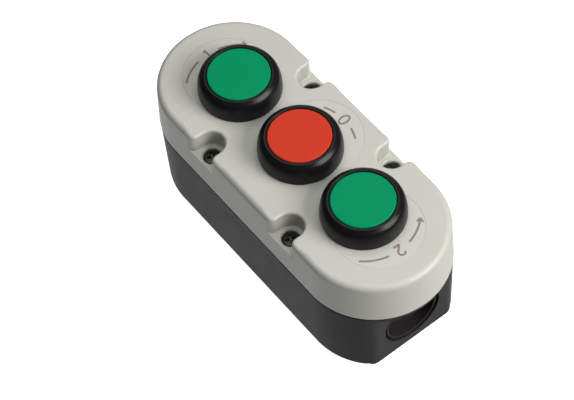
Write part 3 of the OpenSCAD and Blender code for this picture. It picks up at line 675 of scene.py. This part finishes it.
def base_mesh(draft):
    """Closed skin of the base, with its cable entries, cavity, flange, tongue, posts and hooks.

    The outline moves in evenly from the top to the back, except on the flat ends, which stand upright, and
    round the back edge it follows a quarter circle."""
    patches = Patches()
    quarter, flat_count = base_quarter()
    loop = whole_loop(quarter)
    xy, out = loop[:, :2], loop[:, 2:4]
    count = len(loop)
    half = count // 2
    facing = smooth((np.abs(xy[:, 0]) - FLAT_X) / FLAT_BLEND + 1)
    back_edge = BACK_EDGE_R * (1 - FLAT_EDGE_SHARE * facing)
    back_inset = (draft * (1 - facing))[:, None]

    def row(z, inset):
        return level(xy - out * inset, z)

    back = [row(back_edge * fall, back_inset + back_edge[:, None] * across)
            for fall, across in edge_steps(90, 0, 7)]
    back.append(row(BACK_EDGE_R, back_inset))
    patches.grid(back, closed=True)
    walls = [row(z, back_inset * (1 - (z - BACK_EDGE_R) / (BODY_TOP - BACK_EDGE_R)))
             for z in np.linspace(BACK_EDGE_R, BODY_TOP - TOP_EDGE_R, 17)]
    top = [row(BODY_TOP - TOP_EDGE_R * fall, TOP_EDGE_R * across) for fall, across in edge_steps(0, 90, 4)]
    patches.grid([walls[-1], *top], closed=True)
    inner = [row(z, WALL) for z in np.linspace(BODY_TOP, FLOOR_Z, 17)]
    patches.grid([top[-1], row(BODY_TOP, TOP_STEP), inner[0]], closed=True)

    def sides(rows):
        """Both long walls, between the corners of the flat ends."""
        between = np.arange(flat_count - 1, half - flat_count + 2)
        for start in (0, half):
            pick = (between + start) % count
            patches.grid([r[pick] for r in rows])

    sides(walls)
    sides(inner)

    def flat_end(rows, circle, x, profile):
        """Flat end fanned from its outline in to a round hole at x, then turned along the hole's axis.

        Rows hold the wall from one edge to the other, and the profile holds radius and place along X."""
        pick = np.arange(1 - flat_count, flat_count) % count
        lines = [r[pick] for r in rows]
        outline = np.concatenate([lines[0], [r[-1] for r in lines[1:-1]], lines[-1][::-1],
                                  [r[0] for r in lines[1:-1]][::-1]])
        angle = np.arctan2(outline[:, 2] - ENTRY_Z, outline[:, 1])

        def circle_row(r, at):
            return np.column_stack([np.full(len(angle), at), r * np.cos(angle), ENTRY_Z + r * np.sin(angle)])

        hole = circle_row(circle, x)
        fan = [outline * (1 - t) + hole * t for t in (0, 0.3, 0.65, 1)]
        fan += [circle_row(r, at) for r, at in profile]
        patches.grid(fan, closed=True)
        patches.grid([f * MIRRORS[1] for f in fan], closed=True)

    entry = [(ENTRY_R + ENTRY_EDGE_R * fall, FLAT_X - ENTRY_EDGE_R * across)
             for fall, across in edge_steps(30, 90, 3)]
    entry += [(r * MM, FLAT_X - depth * MM) for r, depth in ENTRY_PROFILE]
    flat_end(walls, ENTRY_R + ENTRY_EDGE_R, FLAT_X, entry)
    flat_end(inner, COLLAR_R, FLAT_X - WALL, [(r * MM, FLAT_X - depth * MM) for r, depth in COLLAR_PROFILE])

    # Back and floor, with the two holes and bosses for the wall's screws
    ring = arc((0, 0), 1, 0, 360, 49)[0][:-1]
    mounts = [np.array([s * MOUNT_X, 0]) for s in (1, -1)]
    holes = [ring * MOUNT_HOLE_R + m for m in mounts]
    bosses = [ring * BOSS_R + m for m in mounts]
    patches.fill(back[0], *[level(h, 0) for h in holes])
    patches.fill(inner[-1], *[level(b, FLOOR_Z) for b in bosses])
    for h, b in zip(holes, bosses):
        patches.grid([level(b, FLOOR_Z), level(b, BOSS_Z), level(h, BOSS_Z), level(h, 0)], closed=True)

    # Flange and tongue: a ring of its own that carries the cover
    angle = np.arctan2(xy[:, 1], np.abs(xy[:, 0]) - END_X)
    ends = np.abs(xy[:, 0]) > END_X

    def stadium(r, z):
        round_end = np.column_stack([np.sign(xy[:, 0]) * (END_X + r * np.cos(angle)), r * np.sin(angle)])
        straight = np.column_stack([xy[:, 0], np.sign(xy[:, 1]) * r])
        return level(np.where(ends[:, None], round_end, straight), z)

    patches.grid([row(FLANGE_Z, WALL), stadium(FLANGE_R, FLANGE_Z), stadium(FLANGE_R, PARTING_Z),
                  stadium(TONGUE_OUT_R, PARTING_Z), stadium(TONGUE_OUT_R, TONGUE_Z),
                  stadium(TONGUE_IN_R, TONGUE_Z), stadium(TONGUE_IN_R, PARTING_Z),
                  row(PARTING_Z, WALL), row(FLANGE_Z, WALL)], closed=True)

    # Screw posts, and the hooks that hold the contact blocks
    for x in (-POST_XY, POST_XY):
        for y in (-POST_XY, POST_XY):
            turned(patches, np.array(POST_PROFILE) * MM, (x * MM, y * MM), 48)
    for x in HOOK_X:
        for s in (-1, 1):
            hook = np.array(HOOK_PROFILE) * MM
            faces = [np.column_stack([np.full(len(hook), (x + k) * MM), s * hook[:, 0], hook[:, 1]])
                     for k in (-HOOK_HALF, HOOK_HALF)]
            patches.grid(faces, closed=True)
            for face in faces:
                patches.fill(face)
    return patches.mesh("Base skin", crease=30)


# Bezel, in millimetres: radius and height above the cover's face
BUSH_R, BUSH_LOW, BUSH_HIGH = 11, -11.8, -2.6
BUSH_PITCH, BUSH_THREAD, THREAD_FADE = 1.5, 0.32, 0.8
BEZEL_SEAT = ((BUSH_R, BUSH_HIGH), (BUSH_R, 0), (11.85, 0), (11.85, 0.8), (13.65, 0.8), (13.65, 0))
BEZEL_BORE = ((11.35, 5), (11.35, 1.25), (8.55, 1.25), (8.55, -4), (8.55, -10.3), (2.9, -10.3),
              (2.9, BUSH_LOW), (BUSH_R, BUSH_LOW))


def bezel_mesh(i, steps):
    """Turned head with a bulging wall, and a bush whose radius dips along the helix of its thread."""
    patches = Patches()
    face = FACE_Z / MM
    foot = arc((14.6, 0.3), 0.3, -90, 0, 4)[0]
    wall = arc((12.75, 1.3), np.array([2.15, 6.35]), 0, 78, 14)[0]
    rim = arc((12.05, 7.65), 0.7, 30, 90, 7)[0]
    lip = arc((11.65, 8.05), 0.3, 90, 180, 5)[0]
    head = np.concatenate([BEZEL_SEAT, foot, wall, rim, lip, BEZEL_BORE])
    turned(patches, (head + np.array([0, face])) * MM, BUTTONS[i], steps)
    z = np.linspace(BUSH_LOW, BUSH_HIGH, 56)[:, None]
    a = np.linspace(0, 2 * math.pi, steps, endpoint=False)[None, :]
    fade = smooth((z - BUSH_LOW) / THREAD_FADE) * smooth((BUSH_HIGH - z) / THREAD_FADE)
    r = BUSH_R - BUSH_THREAD * fade * (1 - helix_wave(z, a, BUSH_PITCH))
    x, y = BUTTONS[i] / MM
    thread = np.stack([x + r * np.cos(a), y + r * np.sin(a), np.broadcast_to(z + face, r.shape)], axis=-1)
    patches.grid(thread * MM, closed=True)
    return patches.mesh(f"{SIDES[i]} bezel body")


def cap_mesh(i, steps):
    """Turned disc whose face sinks by the fourth power of its radius and whose edge is rounded."""
    patches = Patches()
    r = (CAP_HI.x - CAP_LO.x) / 2
    low, top = CAP_LO.z, CAP_HI.z
    soft, crown, chamfer = 0.5 * MM, 0.05 * MM, 0.2 * MM
    edge = arc((r - soft, top - crown - soft), soft, 0, 90, 8)[0]
    share = np.linspace(1, 0, 10)[1:]
    face = np.column_stack([(r - soft) * share, top - crown * share ** 4])
    under = [(0, low), (r * 0.5, low), (r - chamfer, low), (r, low + chamfer)]
    turned(patches, np.concatenate([under, edge, face]), BUTTONS[i], steps)
    return patches.mesh(f"{SIDES[i]} cap disc")


# Springs: wire radius and number of turns, then the closed turns at each end, their rise in wire widths
# and the share of the height that eases in and out
COILS = {"return_spring": (0.4 * MM, 7), "contact_spring": (0.25 * MM, 5)}
DEAD_TURNS, DEAD_RISE, COIL_EASING = 0.8, 0.9, 0.25


def coil_mesh(node, wire, turns, steps=20):
    """Wire carried along a helix: the angle grows evenly, and the height slowly in the closed turns."""
    lo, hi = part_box(node)
    r = (hi.x - lo.x) / 2 - wire
    centre = np.array([(lo.x + hi.x) / 2, (lo.y + hi.y) / 2])
    t = np.linspace(0, 1, turns * 40 + 1)
    a = 2 * math.pi * turns * t
    dead, dead_rise = DEAD_TURNS / turns, wire * 2 * DEAD_RISE
    share = (t - dead) / (1 - 2 * dead)
    rise = smooth(share) * COIL_EASING + np.clip(share, 0, 1) * (1 - COIL_EASING)
    low, high = lo.z + wire, hi.z - wire
    z = low + dead_rise * np.minimum(t / dead, 1) + (high - low - 2 * dead_rise) * rise
    z += dead_rise * np.clip((t - 1 + dead) / dead, 0, 1)
    path = np.column_stack([centre[0] + r * np.cos(a), centre[1] + r * np.sin(a), z])
    outward = np.column_stack([np.cos(a), np.sin(a), np.zeros_like(a)])
    along = np.gradient(path, axis=0)
    along /= np.linalg.norm(along, axis=1, keepdims=True)
    upward = np.cross(along, outward)
    b = np.linspace(0, 2 * math.pi, steps, endpoint=False)
    tube = (path[:, None] + wire * (np.cos(b)[None, :, None] * outward[:, None]
                                    + np.sin(b)[None, :, None] * upward[:, None]))
    tube = np.concatenate([np.repeat(path[:1, None], steps, 1), tube, np.repeat(path[-1:, None], steps, 1)])
    patches = Patches()
    patches.grid(tube, closed=True)
    return patches.mesh(node.replace("_", " ") + " coil")


# Cover screw, in millimetres: heights are below the head's top, and the rim holds radius and height
DISC_R, DOME = 2.75, 0.28
CROSS_TURN, CROSS_DEPTH, CROSS_SLOPE = 0.35, 1.25, 0.35
ARM_HALF, ARM_WALL = 0.33, 0.22
ARM_REACH, ARM_END = 1.65, 0.35
SHANK_R, SHANK_TOP, TIP_R, TIP_LENGTH = 1.95, -2.4, 1.35, 0.6
SCREW_PITCH, SCREW_THREAD, THREAD_TOP, THREAD_RUN = 0.9, 0.28, -4.0, 2
HEAD_RIM = ((DISC_R, -DOME), (2.93, -0.38), (3.03, -0.6), (3.05, -0.9), (3.05, SHANK_TOP),
            (SHANK_R, SHANK_TOP))


def screws_mesh():
    """Four screws: a domed head that sinks where the point lies on a cross, and a shank with a thread."""
    patches = Patches()
    a = np.linspace(0, 2 * math.pi, 176, endpoint=False)[None, :]
    share = np.linspace(0, 1, 52)[:, None]
    r = DISC_R * share
    x, y = r * np.cos(a + CROSS_TURN), r * np.sin(a + CROSS_TURN)
    arm = np.minimum(np.abs(x), np.abs(y))
    reach = np.maximum(np.abs(x), np.abs(y))
    sunk = (1 - smooth((arm - ARM_HALF) / ARM_WALL)) * (1 - smooth((reach - ARM_REACH) / ARM_END))
    z = -DOME * share ** 2 - sunk * (CROSS_DEPTH - CROSS_SLOPE * reach)
    head = np.stack([r * np.cos(a), r * np.sin(a), z], axis=-1)
    turn = np.linspace(0, 2 * math.pi, 96, endpoint=False)
    around = np.stack([np.cos(turn), np.sin(turn)], axis=1)
    low = (SCREW_LO.z - HEAD_TOP_Z) / MM
    heights = np.linspace(SHANK_TOP, low + TIP_LENGTH, 60)[:, None]
    fade = smooth((THREAD_TOP - heights) / THREAD_RUN)
    shank = SHANK_R - SCREW_THREAD * fade * helix_wave(heights, turn[None, :], SCREW_PITCH)
    thread = np.stack([shank * np.cos(turn), shank * np.sin(turn), np.broadcast_to(heights, shank.shape)],
                      axis=-1)

    def circles(profile):
        return [level(around * k, h) for k, h in profile]

    body = np.concatenate([circles([(SHANK_R, SHANK_TOP)]), thread[1:], circles([(TIP_R, low), (0, low)])])
    for sx in (-1, 1):
        for sy in (-1, 1):
            at = np.array([sx * SCREW_X / MM, sy * SCREW_Y / MM, HEAD_TOP_Z / MM])
            for rows in (head, np.array(circles(HEAD_RIM)), body):
                patches.grid((rows + at) * MM, closed=True)
    return patches.mesh("Cover screw bodies", crease=40)


class STATION_OT_finishes(bpy.types.Operator):
    """Make the finishes and give every carried-over solid the one of its slot"""
    bl_idname = "station.finishes"
    bl_label = "Finishes"

    def execute(self, context):
        make_finishes(context.scene)
        slots = {row["node"]: row["material_slot"] for row in frame["record"]["subparts"]}
        for name, obj in frame["nodes"].items():
            mat = FINISH[slots[name]]
            if not obj.material_slots:
                obj.data.materials.append(mat)
            for material_slot in obj.material_slots:
                material_slot.material = mat
        return {"FINISHED"}


class STATION_OT_cover(bpy.types.Operator):
    """Build the cover's skin with its scallops, wells and legend pockets"""
    bl_idname = "station.cover"
    bl_label = "Cover"

    def execute(self, context):
        s = context.scene.station_housing
        place("cover_skin", cover_mesh(s.edge_radius, s.rim_radius, s.cover_draft), "housing",
              FINISH["cover_plastic"], "cover")
        return {"FINISHED"}


class STATION_OT_base(bpy.types.Operator):
    """Build the base's skin with its cable entries, flange, posts and hooks"""
    bl_idname = "station.base"
    bl_label = "Base"

    def execute(self, context):
        s = context.scene.station_housing
        place("base_skin", base_mesh(s.base_draft), "housing",
              FINISH["base_plastic"], "base")
        return {"FINISHED"}


class STATION_OT_screws(bpy.types.Operator):
    """Build the four cross-recessed cover screws"""
    bl_idname = "station.screws"
    bl_label = "Cover screws"

    def execute(self, context):
        place("cover_screw_bodies", screws_mesh(), "housing",
              FINISH["black_screw"], "cover_screws")
        return {"FINISHED"}


class STATION_OT_buttons(bpy.types.Operator):
    """Build the three bezels and the three caps"""
    bl_idname = "station.buttons"
    bl_label = "Bezels and caps"

    def execute(self, context):
        steps = context.scene.station_operators.turns
        for i, side in enumerate(SIDES):
            place(f"{side}_bezel_body", bezel_mesh(i, steps), "housing", FINISH["bezel_plastic"],
                  f"{side}_bezel")
            slot = "red_cap" if side == "centre" else "green_cap"
            place(f"{side}_cap_disc", cap_mesh(i, steps), f"{side}_button", FINISH[slot],
                  f"{side}_cap")
        return {"FINISHED"}


class STATION_OT_springs(bpy.types.Operator):
    """Wind the return springs and contact springs that each button's press joint lists"""
    bl_idname = "station.springs"
    bl_label = "Springs"

    def execute(self, context):
        joints = {row["name"]: row for row in frame["record"]["behaviour"]["joints"]}
        for i, side in enumerate(SIDES):
            joint = joints[f"{side}_press"]
            for row in joint["deforming_nodes"]:
                node, foot = row["node"], row["fixed_end_z_m"]
                wire, turns = COILS[node.removeprefix(f"{side}_")]
                piece = place(f"{node}_coil", coil_mesh(node, wire, turns), "housing",
                              FINISH["spring_steel"], node)
                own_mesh(piece)
        return {"FINISHED"}


class STATION_OT_legends(bpy.types.Operator):
    """Build the three legend plates and their printed marks"""
    bl_idname = "station.legends"
    bl_label = "Legend plates"

    def execute(self, context):
        s = context.scene.station_legends
        for i, side in enumerate(SIDES):
            place(f"{side}_legend_plate", legend_mesh(i, s.groove), "housing", FINISH["legend_plastic"],
                  f"{side}_legend")
            place(f"{side}_legend_print", mark_mesh(i, s.mark_radius, s.mark_height, s.stroke),
                  "housing", FINISH["legend_print"], None)
        return {"FINISHED"}


class STATION_OT_stage(bpy.types.Operator):
    """Set up the pale floor, the soft studio lights and the camera"""
    bl_idname = "station.stage"
    bl_label = "Studio"

    def execute(self, context):
        s = context.scene.station_studio
        scene = context.scene
        patches = Patches()
        span = np.linspace(-FLOOR_REACH, FLOOR_REACH, 9)
        patches.grid([[(x, y, FLOOR_LEVEL) for x in span] for y in span])
        mesh = patches.mesh("Studio floor", recalc=False)
        floor = bpy.data.objects.new("studio_floor", mesh)
        scene.collection.objects.link(floor)
        pale = finish("Studio floor", (0.8, 0.8, 0.8), 0.9, drift=0.0, specular=0.0)
        shader = pale.node_tree.nodes["Principled BSDF"]
        shader.inputs["Emission Color"].default_value = (1, 1, 1, 1)
        shader.inputs["Emission Strength"].default_value = 1.0
        mesh.materials.append(pale)
        floor.visible_diffuse = False
        floor.visible_glossy = False

        def lamp(name, where, target, size, power, colour):
            data = bpy.data.lights.new(name, "AREA")
            data.shape = "RECTANGLE"
            data.size, data.size_y = size
            data.energy = power
            data.color = colour
            obj = bpy.data.objects.new(name, data)
            scene.collection.objects.link(obj)
            where, target = Vector(where), Vector(target)
            aim = (target - where).to_track_quat("-Z", "Y").to_matrix().to_4x4()
            obj.matrix_world = Matrix.Translation(where) @ aim

        lamp("key_light", KEY_AT, KEY_TARGET, KEY_SIZE, s.key_power, (1.0, 0.995, 0.98))
        lamp("fill_light", FILL_AT, FILL_TARGET, FILL_SIZE, s.fill_power, (1, 1, 1))

        # Surround: bright below, where the pale floor throws light up, and dim above
        world = bpy.data.worlds.new("Studio")
        world.use_nodes = True
        nodes, links = world.node_tree.nodes, world.node_tree.links
        back = nodes["Background"]
        back.inputs["Strength"].default_value = s.world_strength
        coords = nodes.new("ShaderNodeTexCoord")
        axes = nodes.new("ShaderNodeSeparateXYZ")
        sky = nodes.new("ShaderNodeValToRGB")
        sky.color_ramp.elements[0].position, sky.color_ramp.elements[1].position = 0.18, 0.34
        sky.color_ramp.elements[0].color = (1, 1, 1, 1)
        sky.color_ramp.elements[1].color = (s.sky_share, s.sky_share, s.sky_share, 1)
        up_axis = nodes.new("ShaderNodeMapRange")
        up_axis.inputs["From Min"].default_value = -1
        links.new(coords.outputs["Generated"], axes.inputs["Vector"])
        links.new(axes.outputs["Z"], up_axis.inputs["Value"])
        links.new(up_axis.outputs["Result"], sky.inputs["Fac"])
        links.new(sky.outputs["Color"], back.inputs["Color"])
        scene.world = world

        data = bpy.data.cameras.new("camera")
        data.sensor_width = 36
        data.lens = s.lens
        data.clip_start, data.clip_end = 0.01, 20
        camera = bpy.data.objects.new("camera", data)
        scene.collection.objects.link(camera)
        ahead = Vector(CAMERA_AHEAD).normalized()
        right = ahead.cross(Vector(CAMERA_UP)).normalized()
        up = right.cross(ahead)
        turn = Matrix((right, up, -ahead)).transposed().to_4x4()
        camera.matrix_world = Matrix.Translation(CAMERA_AT) @ turn
        scene.camera = camera
        scene.view_settings.view_transform = "Standard"
        return {"FINISHED"}


class STATION_PT_panel(bpy.types.Panel):
    """Sizes, colours and build steps of the control station"""
    bl_idname = "STATION_PT_panel"
    bl_label = "Control station"
    bl_space_type = "VIEW_3D"
    bl_region_type = "UI"
    bl_category = "Station"

    def draw(self, context):
        scene = context.scene
        for title, group in (("Housing", scene.station_housing), ("Buttons", scene.station_operators),
                             ("Legends", scene.station_legends), ("Studio", scene.station_studio)):
            box = self.layout.box()
            box.label(text=title)
            for name in group.__annotations__:
                box.prop(group, name)
        for step in STEPS:
            self.layout.operator(step.bl_idname)


STEPS = (STATION_OT_finishes, STATION_OT_cover, STATION_OT_base, STATION_OT_screws, STATION_OT_buttons,
         STATION_OT_springs, STATION_OT_legends, STATION_OT_stage)
GROUPS = {"station_housing": StationHousing, "station_operators": StationOperators,
          "station_legends": StationLegends, "station_studio": StationStudio}


def register():
    for cls in (*GROUPS.values(), *STEPS, STATION_PT_panel):
        bpy.utils.register_class(cls)
    for name, cls in GROUPS.items():
        setattr(bpy.types.Scene, name, PointerProperty(type=cls))


def unregister():
    for name in GROUPS:
        delattr(bpy.types.Scene, name)
    for cls in (STATION_PT_panel, *reversed(STEPS), *GROUPS.values()):
        bpy.utils.unregister_class(cls)


def main():
    register()
    bpy.ops.station.finishes()
    bpy.ops.station.cover()
    bpy.ops.station.base()
    bpy.ops.station.screws()
    bpy.ops.station.buttons()
    bpy.ops.station.springs()
    bpy.ops.station.legends()
    bpy.ops.station.stage()
    bpy.context.view_layer.update()


if __name__ == "__main__":
    main()
